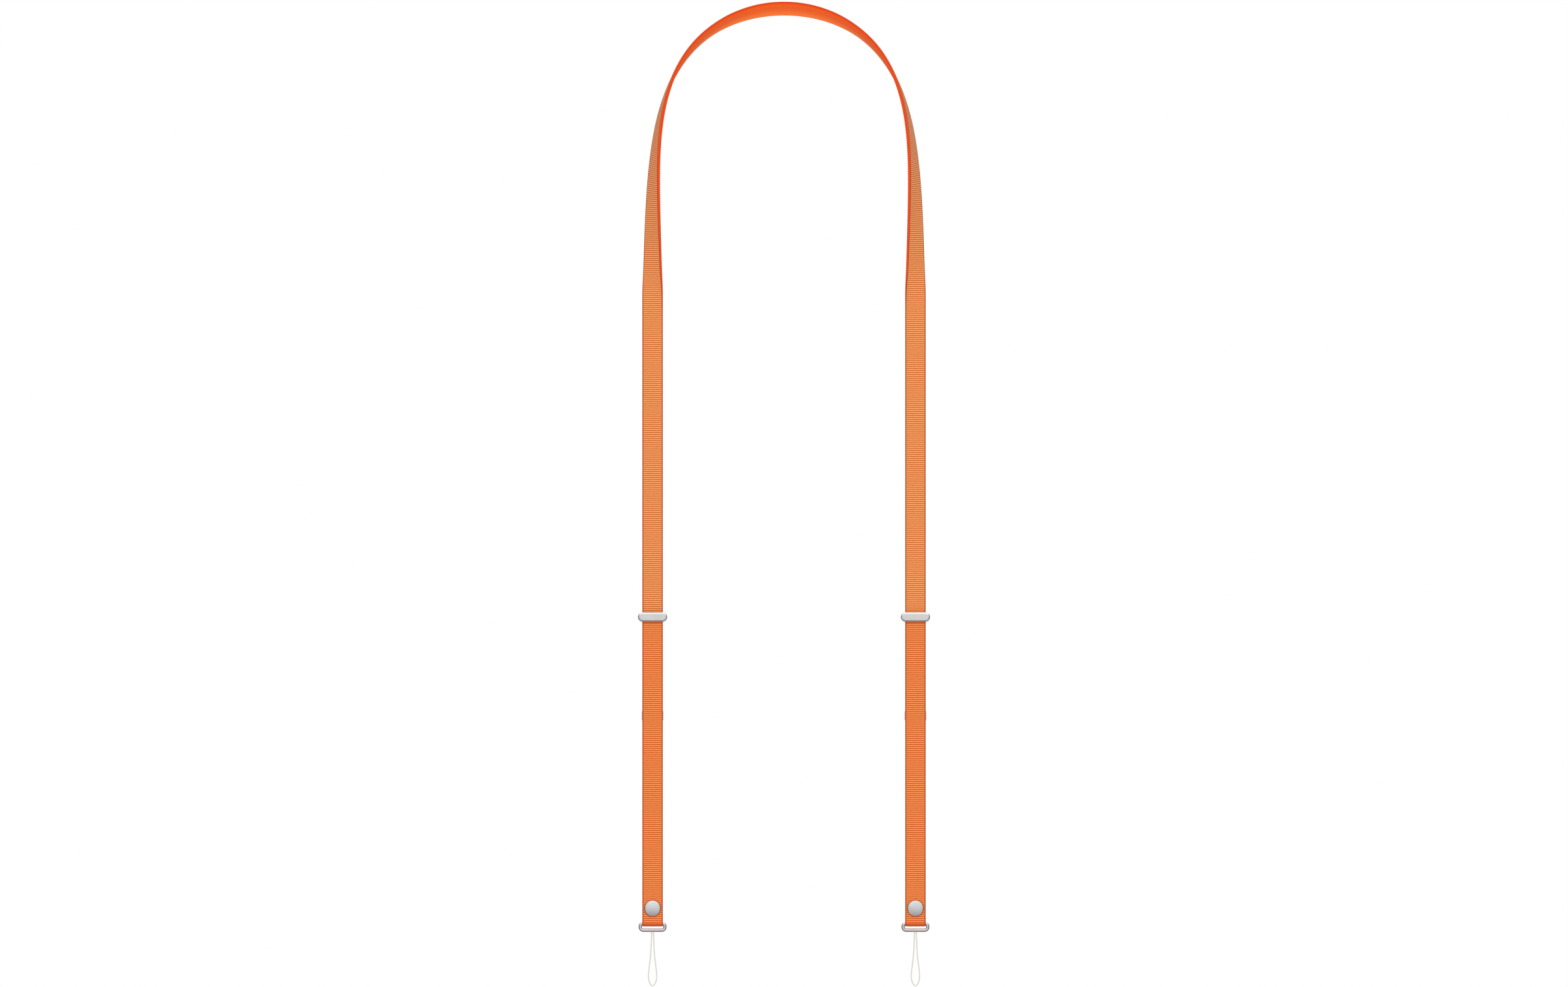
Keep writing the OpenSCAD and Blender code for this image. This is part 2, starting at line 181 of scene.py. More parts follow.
def grid_faces(rings, ring_size, closed_rings=False):
    """Quads between rings of points, each ring a closed loop, with a cap at each end of an open row."""
    faces = []
    for i in range(rings if closed_rings else rings - 1):
        a, b = i * ring_size, (i + 1) % rings * ring_size
        faces += [(a + k, a + (k + 1) % ring_size, b + (k + 1) % ring_size, b + k) for k in range(ring_size)]
    if not closed_rings:
        faces.append(tuple(reversed(range(ring_size))))
        faces.append(tuple(range((rings - 1) * ring_size, rings * ring_size)))
    return faces


def stadium(radius, reach, count):
    """Points round a bar with round ends, or round a circle when reach is 0, in the plane of its face."""
    half = count // 2
    has_sides = bool(reach)
    right = np.radians(np.linspace(-90, 90, half, endpoint=has_sides))
    left = np.radians(np.linspace(90, 270, half, endpoint=has_sides))
    return np.concatenate([
        np.stack([reach + radius * np.cos(right), radius * np.sin(right)], axis=1),
        np.stack([-reach + radius * np.cos(left), radius * np.sin(left)], axis=1)])


def turned(profile, reach, count):
    """Rings for a profile of (radius, height), from the rear face to the front one."""
    rings = []
    for radius, height in profile:
        flat = stadium(radius, reach, count)
        rings.append(np.column_stack([flat[:, 0], flat[:, 1], np.full(len(flat), height)]))
    return np.array(rings)


def arc(centre, radius, start, end, count):
    """Points on an arc, in degrees."""
    at = np.radians(np.linspace(start, end, count))
    return [(centre[0] + radius * math.cos(a), centre[1] + radius * math.sin(a)) for a in at]


def full_turn(count):
    return np.linspace(0, 2 * math.pi, count, endpoint=False)


def around(out, angle):
    """Unit steps from a line in an upright plane to the points round it, one ring for each of its points."""
    return np.cos(angle)[None, :, None] * out[:, None] + np.sin(angle)[None, :, None] * DEPTHWISE


def facing(points, x, y, z):
    """Stands points on the leg with their own +Z towards the viewer."""
    return np.stack([x + points[..., 0], y - points[..., 2], z + points[..., 1]], axis=-1)


# ---------------------------------------------------------------- materials

Weave = namedtuple("Weave", "vector across along relief")
THREAD_W = 0.42
TWILL_ACROSS, TWILL_ALONG = 0.62, 0.5
GRAIN_SCALE = 900


class Nodes:
    """A short way to write a node tree. A socket goes by its name, or by its number after an underscore."""

    def __init__(self, tree):
        self.tree = tree
        self.shader = tree.nodes.get("Principled BSDF")

    def add(self, kind, **sockets):
        node = self.tree.nodes.new(kind)
        for name, value in sockets.items():
            self.put(node, name, value)
        return node

    def put(self, node, name, value):
        socket = node.inputs[int(name[1:])] if name[0] == "_" else node.inputs[name.replace("_", " ")]
        if isinstance(value, bpy.types.NodeSocket):
            self.tree.links.new(value, socket)
        else:
            socket.default_value = value

    def shade(self, **sockets):
        """Links what varies to the shader, and sets what is the same all over on its own sockets."""
        for name, value in sockets.items():
            self.put(self.shader, name, value)

    def math(self, operation, a, b=0.0, c=0.0):
        node = self.add("ShaderNodeMath", _0=a, _1=b, _2=c)
        node.operation = operation
        return node.outputs[0]

    def ramp(self, value, low, high, to_low=0.0, to_high=1.0):
        node = self.add("ShaderNodeMapRange", _0=value, _1=low, _2=high, _3=to_low, _4=to_high)
        node.interpolation_type = "SMOOTHSTEP"
        return node.outputs[0]

    def levels(self, value, stops):
        """Grey levels at given places of a value."""
        node = self.add("ShaderNodeValToRGB", _0=value)
        elements = node.color_ramp.elements
        while len(elements) < len(stops):
            elements.new(0.5)
        for element, (at, level) in zip(elements, stops):
            element.position, element.color = at, (level, level, level, 1)
        return node.outputs[0]

    def mix(self, factor, a, b):
        node = self.tree.nodes.new("ShaderNodeMix")
        node.data_type = "RGBA"
        for index, value in ((0, factor), (6, a), (7, b)):
            self.put(node, "_" + str(index), value)
        return node.outputs[2]

    def noise(self, vector, scale, detail=2.0, rough=0.5):
        node = self.add("ShaderNodeTexNoise", Vector=vector, Scale=scale, Detail=detail, Roughness=rough)
        return node.outputs[0]

    def bump(self, height, strength, distance):
        return self.add("ShaderNodeBump", Strength=strength, Distance=distance, Height=height).outputs[0]

    def place(self):
        return self.add("ShaderNodeTexCoord").outputs["Object"]

    def weave(self):
        """The weave attribute: across and along the webbing in millimetres, and the height on a rib."""
        attribute = self.tree.nodes.new("ShaderNodeAttribute")
        attribute.attribute_name = "weave"
        vector = attribute.outputs["Vector"]
        return Weave(vector, *self.add("ShaderNodeSeparateXYZ", _0=vector).outputs[:3])


def new_material(name):
    material = bpy.data.materials.new(name)
    material.use_nodes = True
    return material, Nodes(material.node_tree)


def colour(r, g, b):
    """A colour given as it looks, 0 to 255, turned into the linear numbers that a shader takes."""
    shares = (r / 255, g / 255, b / 255)
    linear = [c / 12.92 if c <= 0.04045 else ((c + 0.055) / 1.055) ** 2.4 for c in shares]
    return (*linear, 1.0)


def ribbed_material(name, valley, flank, crest):
    """Ribbed webbing: painted shade between the ribs and a painted highlight on their crowns, with a dark
    line inside the selvedge.
    """
    material, n = new_material(name)
    weave = n.weave()
    cloud = n.noise(weave.vector, 0.9, 3.0, 0.6)
    wander = n.math("MULTIPLY", n.noise(weave.vector, 1.6, 2.0), 1.6)
    threads = n.math("SINE", n.math("ADD", n.math("MULTIPLY", weave.across, 2 * math.pi / THREAD_W), wander))
    beside = n.math("ABSOLUTE", weave.across)
    # Painted shade in the grooves and a painted highlight on the rib crowns, both following the rib height.
    base = n.mix(n.ramp(weave.relief, 0.15, 0.7), valley, flank)
    base = n.mix(n.ramp(weave.relief, 0.8, 0.99), base, crest)
    base = n.mix(n.ramp(beside, HALF_W - 0.55, HALF_W - 0.4), base, colour(138, 46, 14))
    base = n.mix(n.ramp(beside, HALF_W - 0.2, HALF_W - 0.05), base, colour(206, 66, 16))
    base = n.mix(n.ramp(cloud, 0.35, 0.75, 0.0, 0.2), base, colour(212, 94, 38))
    base = n.mix(n.math("MULTIPLY_ADD", threads, 0.05, 0.06), base, colour(196, 80, 30))
    shifted = n.add("ShaderNodeVectorMath", _0=weave.vector, _1=(9.0, 1.2, 1.0)).outputs[0]
    fibre = n.noise(shifted, 3.0, 3.0)
    n.shade(Base_Color=base, Roughness=n.ramp(cloud, 0.2, 0.8, 0.62, 0.78),
            Normal=n.bump(n.math("MULTIPLY_ADD", threads, 0.35, fibre), 0.45, 0.00006),
            Sheen_Weight=0.1, Sheen_Roughness=0.5, Specular_IOR_Level=0.2)
    return material


def backing_material():
    """Smooth twilled webbing, with painted light that makes it brighter towards one edge, broken up by noise.
    """
    material, n = new_material("smooth_backing")
    weave = n.weave()
    cloud = n.noise(weave.vector, 0.7, 3.0, 0.6)
    diagonal = n.math("ADD", n.math("MULTIPLY", weave.across, 2 * math.pi / TWILL_ACROSS),
                      n.math("MULTIPLY", weave.along, 2 * math.pi / TWILL_ALONG))
    twill = n.math("SINE", n.math("ADD", diagonal, n.math("MULTIPLY", cloud, 2.5)))
    # Painted light: paler towards one edge of the inner face, as a curved face would catch more light there,
    # varied by noise.
    painted_edge_light = n.math("MULTIPLY_ADD", cloud, 1.5, n.math("MULTIPLY", weave.across, -1.0))
    beside = n.math("ABSOLUTE", weave.across)
    base = n.mix(n.math("MULTIPLY_ADD", twill, 0.22, 0.35), colour(228, 78, 12), colour(236, 112, 36))
    base = n.mix(n.ramp(painted_edge_light, -2.0, 7.5, 0.0, 0.62), base, colour(252, 140, 64))
    base = n.mix(n.ramp(beside, HALF_W - 0.5, HALF_W - 0.1), base, colour(214, 66, 10))
    base = n.mix(n.ramp(cloud, 0.3, 0.8, 0.0, 0.2), base, colour(222, 74, 12))
    n.shade(Base_Color=base, Roughness=n.ramp(cloud, 0.2, 0.8, 0.5, 0.66),
            Normal=n.bump(n.math("MULTIPLY_ADD", twill, 0.4, cloud), 0.3, 0.00005), Specular_IOR_Level=0.12)
    return material


def metal_material(name, tint, rough_low, rough_high, grain=(1.0, 1.0, 18.0)):
    """Satin steel with a fine grain, worked out in the object's own space."""
    material, n = new_material(name)
    place = n.place()
    stretched = n.add("ShaderNodeVectorMath", _0=place, _1=tuple(GRAIN_SCALE * g for g in grain))
    stretched.operation = "MULTIPLY"
    lines = n.noise(stretched.outputs[0], 1.0, 3.0, 0.65)
    patches = n.noise(place, 260.0, 3.0, 0.55)
    dark = tuple(c * 0.94 for c in tint[:3]) + (1.0,)
    uneven = n.math("MULTIPLY_ADD", lines, 0.6, n.math("MULTIPLY", patches, 0.4))
    n.shade(Base_Color=n.mix(n.ramp(patches, 0.3, 0.75), tint, dark),
            Roughness=n.ramp(uneven, 0.3, 0.7, rough_low, rough_high),
            Normal=n.bump(lines, 0.12, 0.00002), Metallic=1.0)
    return material


def cord_material():
    material, n = new_material("braided_cord")
    weave = n.weave()
    cloud = n.noise(weave.vector, 2.5, 3.0)
    # Painted shade: darker grey where the braid's strands dip, paler on their crowns.
    base = n.mix(n.ramp(weave.relief, 0.1, 0.9), colour(180, 175, 166), colour(208, 203, 195))
    base = n.mix(n.ramp(cloud, 0.4, 0.8, 0.0, 0.3), base, colour(190, 185, 176))
    n.shade(Base_Color=base, Roughness=n.ramp(cloud, 0.2, 0.8, 0.7, 0.85),
            Normal=n.bump(n.math("MULTIPLY_ADD", weave.relief, 0.5, cloud), 0.4, 0.00004), Sheen_Weight=0.3)
    return material


def stage_material():
    material, n = new_material("pale_floor")
    base = n.mix(n.noise(n.place(), 3.0), colour(246, 246, 245), colour(250, 250, 250))
    n.shade(Base_Color=base, Roughness=0.9)
    return material


# Each ribbed webbing takes a painted groove shade, a flank colour and a painted crown highlight.
NECK_RIBBED = ribbed_material("neck_webbing", colour(181, 77, 24), colour(203, 127, 70),
                              colour(232, 171, 108))
TAIL_RIBBED = ribbed_material("tail_webbing", colour(181, 61, 12), colour(206, 111, 52),
                              colour(234, 161, 93))
BACKING = backing_material()
SATIN = metal_material("satin_steel", (0.78, 0.78, 0.79, 1.0), 0.26, 0.38)
SLIDER_STEEL = metal_material("slider_steel", (0.87, 0.86, 0.87, 1.0), 0.26, 0.38)
RING_STEEL = metal_material("ring_steel", (0.8, 0.79, 0.78, 1.0), 0.16, 0.3, grain=(6.0, 1.0, 6.0))
INNER_STEEL = metal_material("inner_steel", (0.56, 0.56, 0.57, 1.0), 0.34, 0.5)
SPRING_STEEL = metal_material("spring_steel", (0.46, 0.46, 0.5, 1.0), 0.2, 0.34)
CORD_WHITE = cord_material()

# ---------------------------------------------------------------- camera

PHOTO_W = 2408
PHOTO_SCALE = 0.38
FRAME_W = PHOTO_W * PHOTO_SCALE
LENS = 1000.0
SENSOR = 36.0
CAMERA_RISE = math.radians(0.64)
VIEW_MID_Z = -282.0


def make_camera():
    """A long lens, far away and a little above the middle, which frames the object as the photograph does."""
    data = bpy.data.cameras.new("camera")
    data.lens, data.sensor_width = LENS, SENSOR
    data.clip_start, data.clip_end = 0.1, 100.0
    camera = bpy.data.objects.new("camera", data)
    distance = FRAME_W * LENS / SENSOR
    camera.location = Vector((0, LEG_Y - distance * math.cos(CAMERA_RISE),
                              VIEW_MID_Z + distance * math.sin(CAMERA_RISE))) * MM
    camera.rotation_euler = (math.pi / 2 - CAMERA_RISE, 0, 0)
    bpy.context.scene.collection.objects.link(camera)
    bpy.context.scene.camera = camera


make_camera()

# ---------------------------------------------------------------- cord loops

CORD_D = 0.8
CORD_STEP = 0.1
CORD_AROUND = 20
BRAID_STRANDS = 4
BRAID_PITCH = 3.2
BRAID_H = 0.06
CORD_HALF = [(0.6, -0.5), (0.6, -2.5), (0.7, -5), (0.8, -7.5), (0.9, -10), (1.1, -12.5), (1.3, -15),
             (1.6, -17.5), (1.9, -20), (2.2, -22.3), (2.4, -24.6), (2.4, -26.6), (2.1, -28.5),
             (1.5, -30), (0.8, -31)]
CORD_ROUTE = ([(-0.6, 0.0)] + [(-x, z) for x, z in CORD_HALF] + [(0, -31.4)]
              + [(x, z) for x, z in reversed(CORD_HALF)] + [(0.6, 0.0)])


def curve_through(points, per_span):
    """A smooth curve through the points."""
    points = np.array(points, float)
    ends = np.concatenate([[2 * points[0] - points[1]], points, [2 * points[-1] - points[-2]]])
    t = np.linspace(0, 1, per_span, endpoint=False)[:, None]
    spans = []
    for i in range(1, len(ends) - 2):
        a, b, c, d = ends[i - 1:i + 3]
        spans.append(0.5 * (2 * b + (c - a) * t + (2 * a - 5 * b + 4 * c - d) * t ** 2
                            + (3 * b - a - 3 * c + d) * t ** 3))
    return np.concatenate(spans + [ends[-2:-1]])


def cord_loop(side, sign):
    """A fine braided cord, from one ferrule round the loop to the other: four strands each way that cross."""
    line = np.array([(sign * LEG_X + x, BAR_Y, MOUTH_Z + z) for x, z in CORD_ROUTE])
    line, along = spaced(curve_through(line, 16), CORD_STEP)
    out = unit(np.cross(unit(np.gradient(line, axis=0)), DEPTHWISE))
    angle = full_turn(CORD_AROUND)
    phase = 2 * math.pi * along[:, None] / BRAID_PITCH
    one = np.cos(BRAID_STRANDS * angle[None] + BRAID_STRANDS * phase)
    other = np.cos(BRAID_STRANDS * angle[None] - BRAID_STRANDS * phase)
    relief = np.clip(0.5 + 0.5 * np.maximum(one, other), 0, 1)
    radius = CORD_D / 2 - BRAID_H * (1 - relief)
    verts = line[:, None] + radius[..., None] * around(out, angle)
    weave = np.stack([np.broadcast_to(angle[None], relief.shape),
                      np.broadcast_to(along[:, None], relief.shape), relief], axis=-1)
    piece = mesh_of(side + "_cord", verts.reshape(-1, 3), grid_faces(len(line), CORD_AROUND), CORD_WHITE,
                    None, weave.reshape(-1, 3))
    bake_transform(piece)
    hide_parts(side + "_cord_loop")


for side, sign in SIDES.items():
    cord_loop(side, sign)

# ---------------------------------------------------------------- webbing

RIB_PITCH = 1.14
RIB_STEP = RIB_PITCH / 6
RIB_H = 0.3
RIB_ROUNDNESS = 1.7
RIB_AT_EDGE = 0.35
RIB_STANDS_OUT = 0.04
PRESSED_RIB = 0.25
SELVEDGE = 0.45
WEB_CROWN = 0.04
BACKING_STEP = 1.0

# Round a ribbed section: one side, the ribbed top, the other side and the smooth underside.
SIDE_POINTS, TOP_POINTS, UNDER_POINTS = 4, 33, 7
TOP_U = np.linspace(HALF_W - SELVEDGE, -HALF_W + SELVEDGE, TOP_POINTS)
UNDER_U = np.linspace(-HALF_W + 0.5, HALF_W - 0.5, UNDER_POINTS)
UNDER_START = 2 * SIDE_POINTS + TOP_POINTS
UNDER_FACES = np.arange(UNDER_START + UNDER_POINTS) >= UNDER_START - 1

BEND_SAMPLES = 90
# Each edge spreads by BEND_FLARE at the ring's bar. It fades above the bar, and from FLARE_DROP below it.
BEND_FLARE = 0.05
FLARE_ABOVE, FLARE_UNDER = 3.0, 0.8
FLARE_DROP = 0.3
# The flap's own piece starts FLAP_DROP below the bar's middle.
FLAP_DROP = 0.4
FLAP_CORNER = 2.0


def smooth_step(value, low, high):
    t = np.clip((value - low) / (high - low), 0, 1)
    return t * t * (3 - 2 * t)


def rib_height(along):
    """0 in the groove between two ribs and 1 on a rib's crown."""
    across_rib = np.abs(2 * np.mod(along / RIB_PITCH, 1.0) - 1)
    return 1 - across_rib ** RIB_ROUNDNESS


def ribbed_section(along, thickness, flare=0.0, pressed=1.0):
    """Rings of (across, out, relief) for webbing with ribs on its outer face.

    flare says where the webbing spreads, ring by ring, from 0 to 1. pressed is the share of a rib's
    height that is left at each place of TOP_U, ring by ring, where a metal piece presses on it.
    """
    rows = len(along)
    rib = rib_height(along)[:, None]
    fall = np.ones(TOP_POINTS)
    fall[[0, -1]] = RIB_AT_EDGE
    crown = WEB_CROWN * (1 - (TOP_U / HALF_W) ** 2)
    crest = rib * fall[None] * pressed
    top_d = thickness - RIB_H + RIB_H * crest - WEB_CROWN + crown[None]
    stand = RIB_STANDS_OUT * (rib - 0.5)
    side_u = np.array([HALF_W - 0.22, HALF_W - 0.04, HALF_W - 0.02, HALF_W - 0.2])
    side_d = np.array([0.02, 0.22, thickness - 0.5, thickness - 0.22])

    def every_row(row):
        return np.broadcast_to(row, (rows, len(row)))

    side_relief = every_row(np.full(SIDE_POINTS, 0.4))
    u = np.concatenate([side_u[None] + stand, every_row(TOP_U), -(side_u[::-1][None] + stand),
                        every_row(UNDER_U)], axis=1)
    d = np.concatenate([every_row(side_d), top_d, every_row(side_d[::-1]), np.zeros((rows, UNDER_POINTS))],
                       axis=1)
    relief = np.concatenate([side_relief, crest, side_relief, every_row(np.full(UNDER_POINTS, 0.5))], axis=1)
    return u * (1 + BEND_FLARE / HALF_W * np.reshape(flare, (-1, 1))), d, relief


def smooth_section(along):
    """Rings of (across, out, relief) for the smooth inner ply, which lies on the inner side of the line."""
    edge = [(HALF_W - 0.25, 0.0), (HALF_W - 0.06, -0.2), (HALF_W, -0.45), (HALF_W - 0.03, -PLY_T + 0.3),
            (HALF_W - 0.22, -PLY_T + 0.08), (HALF_W - 0.6, -PLY_T)]
    face = [(u, -PLY_T - 0.02) for u in np.linspace(HALF_W - 1.6, -HALF_W + 1.6, 7)]
    other_edge = [(-u, d) for u, d in reversed(edge)]
    back = [(u, 0.0) for u in np.linspace(-HALF_W + 1.5, HALF_W - 1.5, 4)]
    ring = np.array(edge + face + other_edge + back)[::-1]
    u, d = (np.broadcast_to(ring[:, k], (len(along), len(ring))) for k in (0, 1))
    return u, d, np.full(u.shape, 0.5)


def rounded_end(section, to_end):
    """Narrows the last millimetres of the flap to a round-cornered end."""
    u, d, relief = section
    short = np.clip(FLAP_CORNER - to_end, 0, FLAP_CORNER)
    pull = FLAP_CORNER - np.sqrt(np.maximum(FLAP_CORNER ** 2 - short ** 2, 0))
    scale = 1 - pull / HALF_W
    return u * scale[:, None], d, relief


def pressed_by_metal(line):
    """Ribs lie flat under the snap's rim and the slider's lower edge, and stretch round the bend; the
    flattened ribs take the darker valley colour, which paints shade below the slider, round the snap's rim
    and at the bottom of the bend.
    """
    z = line[:, 2][:, None]
    beside_cap = smooth_step(np.hypot(TOP_U[None], z - SNAP_Z) - CAP_R, -0.1, 0.5)
    below_plate = smooth_step(plate_low[2] - z, 0.1, 0.9)
    over_bend = smooth_step(z - (BAR_Z - FLAP_DROP), -0.6, 1.2)
    return PRESSED_RIB + (1 - PRESSED_RIB) * beside_cap * below_plate * over_bend


def swept(name, path, section, material, body, under=None):
    """A strap piece: a section carried along a path. under is the material of a ribbed one's underside."""
    line, along, across, out = path
    u, d, relief = section
    verts = line[:, None] + u[..., None] * across[:, None] + d[..., None] * out[:, None]
    weave = np.stack([u, np.broadcast_to(along[:, None], u.shape), relief], axis=-1)
    rings, size = u.shape
    second = None
    if under is not None:
        second = (under, np.concatenate([np.tile(UNDER_FACES, rings - 1), [True, True]]))
    return mesh_of(name, verts.reshape(-1, 3), grid_faces(rings, size), material, body,
                   weave.reshape(-1, 3), second)


def neck_strap():
    path = strap_line(RIB_STEP)
    outer = swept("neck_webbing", path, ribbed_section(path[1], PLY_T), NECK_RIBBED, "neck")
    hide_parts("neck_strap_outer")
    path = strap_line(BACKING_STEP)
    inner = swept("neck_backing", path, smooth_section(path[1]), BACKING, "neck")
    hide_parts("neck_strap_inner")


def tail_path(x):
    """Inner face of the tail from the slider down, round the ring's bar and up the flap.

    It has a point for each step along the ribbed outer face, which is the longer one round the bar.
    """
    bend_r = abs(FLAP_Y - BAR_Y) - TAIL_T / 2
    front_y = BAR_Y - bend_r
    back_y = BAR_Y + bend_r
    front = np.array([(x, front_y, TAIL_TOP), (x, front_y, BAR_Z)])
    bend = np.array([(x, BAR_Y - bend_r * math.cos(a), BAR_Z - bend_r * math.sin(a))
                     for a in np.linspace(0, math.pi, BEND_SAMPLES)])
    back = np.array([(x, back_y, BAR_Z), (x, back_y, FLAP_TOP)])
    line = spaced(np.concatenate([front, bend[1:-1], back]), RIB_STEP / 2)[0]
    across = np.broadcast_to(np.array([1.0, 0, 0]), line.shape)
    out = np.cross(unit(np.gradient(line, axis=0)), across)
    along = distance_along(line + TAIL_T * out)
    keep = np.concatenate([[True], np.diff(np.floor(along / RIB_STEP)) > 0])
    return line[keep], along[keep], across[keep], out[keep]


def tail_webbing(side, sign):
    """The ribbed run in front and the flap behind it."""
    line, along, across, out = tail_path(sign * LEG_X)
    in_front = line[:, 1] < BAR_Y
    above = np.clip(line[:, 2] - BAR_Z, 0, None)
    under = np.clip(BAR_Z - FLARE_DROP - line[:, 2], 0, None)
    flare = in_front * np.exp(-(above / FLARE_ABOVE) ** 2) * np.exp(-(under / FLARE_UNDER) ** 2)
    flap_start = int(np.argmax((line[:, 1] > BAR_Y) & (line[:, 2] > BAR_Z - FLAP_DROP)))

    run = slice(0, flap_start + 1)
    # Painted shade: ribs flattened near the slider, the snap and the bend take the darker valley colour.
    section = ribbed_section(along[run], TAIL_T, flare[run], pressed_by_metal(line[run]))
    tail = swept(side + "_tail_webbing", (line[run], along[run], across[run], out[run]), section, TAIL_RIBBED,
                 side + "_tail", BACKING)
    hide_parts(side + "_tail_strap")

    run = slice(flap_start, len(line))
    section = rounded_end(ribbed_section(along[run], TAIL_T, flare[run]), FLAP_TOP - line[run][:, 2])
    flap = swept(side + "_flap_webbing", (line[run], along[run], across[run], out[run]), section, TAIL_RIBBED,
                 None, BACKING)
    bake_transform(flap)
    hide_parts(side + "_end_flap")


neck_strap()
for side, sign in SIDES.items():
    tail_webbing(side, sign)

# ---------------------------------------------------------------- metal pieces

AROUND_FACE = 96

PLATE_BACK_EDGE = 0.12
PLATE_RIM = 0.7
PLATE_BEVEL = 0.55
PLATE_KNEE = 0.3
PLATE_LEAN = 65
PLATE_FLAT_INSET = 1.9

CAP_RIM = 0.45
CAP_FILLET = 0.5
CAP_BACK_EDGE = [(-0.2, 0), (-0.05, 0.05), (0, 0.2)]
# Where the dome's innermost ring of points lies, in radians from its axis.
CAP_CENTRE = 0.015

RING_CORNER = 1.75
CORNER_POINTS = 20
WIRE_STEP = 0.25
WIRE_AROUND = 28


def front_metal(side, x, z, name, node, profile, reach, material):
    """A round or pill-shaped metal piece that stands on the tail's front face."""
    rings = turned(profile, reach, AROUND_FACE)
    piece = mesh_of(side + name, facing(rings, x, FACE_Y, z).reshape(-1, 3), grid_faces(*rings.shape[:2]),
                    material, side + "_tail")
    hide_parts(side + node)


def slider_plate(side, x):
    """Pill-shaped front plate: a rounded rim, a shallow bevel and a flat face."""
    lean = math.radians(PLATE_LEAN)
    rim_z = PLATE_H - PLATE_KNEE + (PLATE_KNEE - PLATE_RIM) * math.sin(lean) - PLATE_BEVEL / math.tan(lean)
    knee_r = PLATE_R - PLATE_RIM + (PLATE_RIM - PLATE_KNEE) * math.cos(lean) - PLATE_BEVEL
    back_r = PLATE_R - PLATE_BACK_EDGE
    profile = [(back_r, 0), *arc((back_r, PLATE_BACK_EDGE), PLATE_BACK_EDGE, -90, 0, 4)[1:],
               *arc((PLATE_R - PLATE_RIM, rim_z), PLATE_RIM, 0, PLATE_LEAN, 12),
               *arc((knee_r, PLATE_H - PLATE_KNEE), PLATE_KNEE, PLATE_LEAN, 90, 6),
               (PLATE_R - PLATE_FLAT_INSET, PLATE_H)]
    front_metal(side, x, SLIDER_Z, "_slider_face", "_slider_plate", profile, PLATE_REACH, SLIDER_STEEL)


def snap_cap(side, x):
    """Gently domed disc with a rounded rim."""
    dome_h = CAP_H - CAP_RIM
    big = (CAP_R ** 2 + dome_h ** 2) / (2 * dome_h)
    lean = math.asin((CAP_R - CAP_FILLET) / big)
    dome = [(big * math.sin(a), CAP_H - big + big * math.cos(a)) for a in np.linspace(lean, CAP_CENTRE, 24)]
    edge_z = dome[0][1] - CAP_FILLET * math.cos(lean)
    edge = arc((dome[0][0] - CAP_FILLET * math.sin(lean), edge_z), CAP_FILLET, 0, 90 - math.degrees(lean), 9)
    grow = CAP_R / edge[0][0]
    profile = [(CAP_R + r, h) for r, h in CAP_BACK_EDGE] + [(r * grow, h) for r, h in edge[:-1] + dome]
    front_metal(side, x, SNAP_Z, "_snap_face", "_snap_cap", profile, 0, SATIN)


def oblong_ring(side, x):
    """Round wire bent to an oblong."""
    width = (ring_high[0] - ring_low[0]) / 2 - WIRE_R - RING_CORNER
    height = (ring_high[2] - ring_low[2]) / 2 - WIRE_R - RING_CORNER
    mid_z = (ring_high[2] + ring_low[2]) / 2
    path = []
    for quarter, (right, up) in enumerate(((1, 1), (-1, 1), (-1, -1), (1, -1))):
        start = 90 * quarter
        path += arc((right * width, up * height), RING_CORNER, start, start + 90, CORNER_POINTS)
    closed = np.array([(px, 0, pz) for px, pz in path + path[:1]])
    path = spaced(closed, WIRE_STEP)[0][:-1]
    tangent = unit(np.roll(path, -1, axis=0) - np.roll(path, 1, axis=0))
    wire = WIRE_R * around(np.cross(tangent, DEPTHWISE), full_turn(WIRE_AROUND))
    verts = path[:, None] + wire + np.array([x, BAR_Y, mid_z])
    piece = mesh_of(side + "_ring_wire", verts.reshape(-1, 3),
                    grid_faces(len(path), WIRE_AROUND, closed_rings=True), RING_STEEL, side + "_ring")
    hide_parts(side + "_ring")


for side, sign in SIDES.items():
    leg = sign * LEG_X
    slider_plate(side, leg)
    snap_cap(side, leg)
    oblong_ring(side, leg)

# ---------------------------------------------------------------- CAD nodes that show their own mesh

CAD_LOOKS = {"slider_clamp": INNER_STEEL, "slider_frame": SATIN, "slider_spring": SPRING_STEEL,
             "slider_rivets": INNER_STEEL, "snap_socket": INNER_STEEL, "snap_spring": SPRING_STEEL,
             "snap_stud": INNER_STEEL, "snap_post": SATIN, "cord_ferrules": INNER_STEEL,
             "cord_ends": CORD_WHITE, "strap_tip": SATIN}
for side in SIDES:
    for node, material in CAD_LOOKS.items():
        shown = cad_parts[side + "_" + node]
        shown.data.materials.clear()
        shown.data.materials.append(material)

# ---------------------------------------------------------------- floor, world and light, in metres

FLOOR_HALF = 6.0
FLOOR_Z = -0.9
SOFT_LEVEL = 0.85
MIDDLE = (0, LEG_Y * MM, VIEW_MID_Z * MM)

# Grey levels of what metal reflects: from below to above, from the middle to the sides, and to the back.
SKY = [(0.0, 0.24), (0.12, 0.36), (0.5, 0.8), (0.85, 1.06), (1.0, 1.3)]
ASIDE = [(0.0, 1.0), (0.68, 1.0), (0.84, 0.2), (1.0, 0.18)]
BEHIND = [(0.0, 1.0), (0.1, 0.9), (0.6, 0.2), (0.85, 0.2), (1.0, 0.6)]


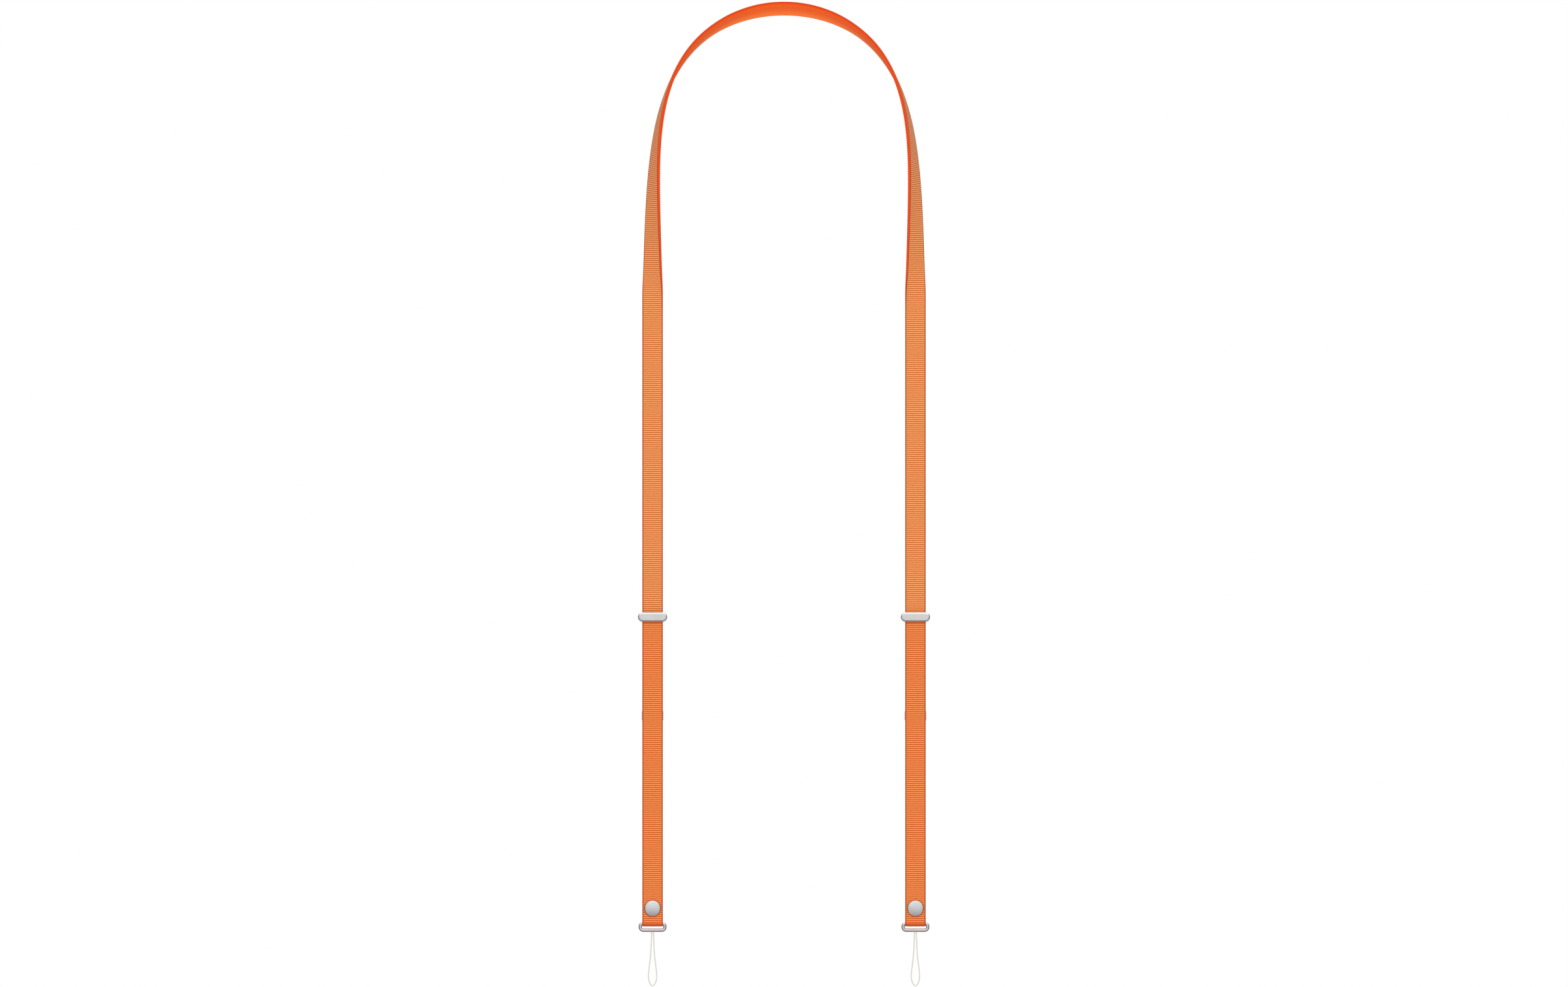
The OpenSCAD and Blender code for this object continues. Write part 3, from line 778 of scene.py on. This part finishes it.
def make_stage():
    corners = [(x * FLOOR_HALF, y * FLOOR_HALF, FLOOR_Z) for x, y in ((-1, -1), (1, -1), (1, 1), (-1, 1))]
    mesh = bpy.data.meshes.new("floor")
    mesh.from_pydata(corners, [], [(0, 1, 2, 3)])
    mesh.materials.append(stage_material())
    floor = bpy.data.objects.new("floor", mesh)
    bpy.context.scene.collection.objects.link(floor)
    floor.visible_glossy = floor.visible_diffuse = False


def make_world():
    """Pale studio: bright above, dimmer below, dark far to the sides, and plain white behind the object."""
    world = bpy.data.worlds.new("studio")
    world.use_nodes = True
    bpy.context.scene.world = world
    world.node_tree.nodes.clear()
    n = Nodes(world.node_tree)
    direction = n.add("ShaderNodeTexCoord").outputs["Generated"]
    x, y, z = n.add("ShaderNodeSeparateXYZ", _0=direction).outputs[:3]
    sky = n.levels(n.math("MULTIPLY_ADD", z, 0.5, 0.5), SKY)
    aside = n.levels(n.math("ABSOLUTE", x), ASIDE)
    behind = n.levels(n.math("SUBTRACT", y, n.math("MULTIPLY", z, 0.6)), BEHIND)
    shown = n.add("ShaderNodeBackground", _0=sky, _1=n.math("MULTIPLY", aside, behind)).outputs[0]
    rays = n.add("ShaderNodeLightPath")
    for kind, level in (("Is Diffuse Ray", SOFT_LEVEL), ("Is Camera Ray", 1.0)):
        plain = n.add("ShaderNodeBackground", _0=(1, 1, 1, 1), _1=level).outputs[0]
        shown = n.add("ShaderNodeMixShader", _0=rays.outputs[kind], _1=shown, _2=plain).outputs[0]
    n.add("ShaderNodeOutputWorld", _0=shown)


def area_light(name, place, size, power):
    """A square lamp turned towards the middle of the object."""
    data = bpy.data.lights.new(name, "AREA")
    data.energy, data.size = power, size
    light = bpy.data.objects.new(name, data)
    light.location = place
    light.rotation_euler = (Vector(MIDDLE) - Vector(place)).to_track_quat("-Z", "Y").to_euler()
    light.visible_glossy = light.visible_camera = False
    bpy.context.scene.collection.objects.link(light)


make_stage()
make_world()
area_light("key_above", place=(0.0, -1.2, 1.6), size=1.0, power=13)
area_light("low_fill", place=(0.0, -1.9, -0.72), size=1.4, power=26)
bpy.context.scene.view_settings.view_transform = "Standard"
